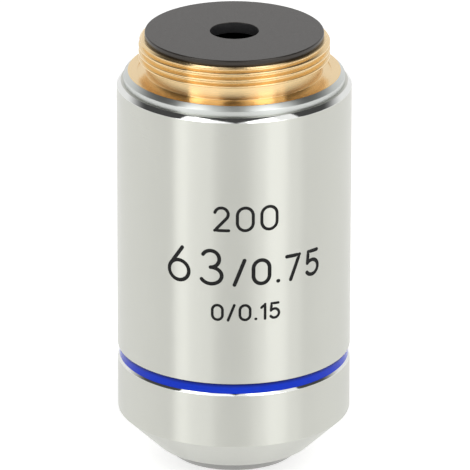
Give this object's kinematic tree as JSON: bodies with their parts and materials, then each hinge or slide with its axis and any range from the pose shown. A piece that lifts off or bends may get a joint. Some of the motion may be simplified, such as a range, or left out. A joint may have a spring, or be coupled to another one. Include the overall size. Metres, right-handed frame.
{
  "type": "microscope objective",
  "caption": "Spring-loaded plan microscope objective: satin chrome sleeve with a dark blue ring, brass screw thread, retracting nose, and a full stack of lenses inside.",
  "frame": {"origin": "on the optical axis, in the shoulder face that seats on the nosepiece", "axes": "+Z along the optical axis and the screw thread, away from the specimen; -Y is the side that carries the engraved numbers; the guide screw is on the +Y side"},
  "size_m": [0.025, 0.025, 0.049],
  "materials": {
    "turned_brass": "turned, lacquered, satin to bright",
    "inner_brass": "turned, unplated",
    "black_brass": "blackened, matt",
    "black_anodised": "black anodised, satin",
    "satin_chrome": "satin chromed brass, edges polished",
    "bright_chrome": "bright chromed brass",
    "blue_enamel": "glossy dark blue enamel",
    "spring_steel": "drawn steel wire and screw steel",
    "crown_glass": "polished, coated",
    "flint_glass": "polished, coated"
  },
  "bodies": {
    "body": {"thread_mount": "turned_brass", "rear_stop": "black_anodised", "outer_sleeve": "satin_chrome", "colour_ring": "blue_enamel", "guide_tube": "inner_brass", "parfocal_lock_ring": "inner_brass", "spring_cap_ring": "inner_brass", "retraction_spring": "spring_steel"},
    "lens_unit": {"guide_screw": "spring_steel", "lens_barrel": "inner_brass", "nose_cone": "bright_chrome", "front_cell": "bright_chrome", "front_lens": "crown_glass", "lens_cell_2": "black_brass", "meniscus_lens_2": "crown_glass", "lens_cell_3": "black_brass", "field_lens_3": "crown_glass", "lens_retainer": "black_brass", "spacer_3_4": "black_anodised", "lens_cell_4": "black_brass", "crown_lens_4": "crown_glass", "flint_lens_4": "flint_glass", "spacer_4_5": "black_anodised", "lens_cell_5": "black_brass", "crown_lens_5": "crown_glass", "flint_lens_5": "flint_glass", "spacer_5_6": "black_anodised", "lens_cell_6": "black_brass", "crown_lens_6": "crown_glass", "flint_lens_6": "flint_glass", "spacer_6_7": "black_anodised", "lens_cell_7": "black_brass", "crown_lens_7": "crown_glass", "flint_lens_7": "flint_glass"}
  },
  "joints": [
    {"name": "nose_retraction", "type": "slide", "parent": "body", "child": "lens_unit", "axis": [0, 0, 1], "range_m": [0, 0.002], "stiffness_N_per_m": 600, "springref_m": -0.005, "deforming": ["retraction_spring"]}
  ]
}
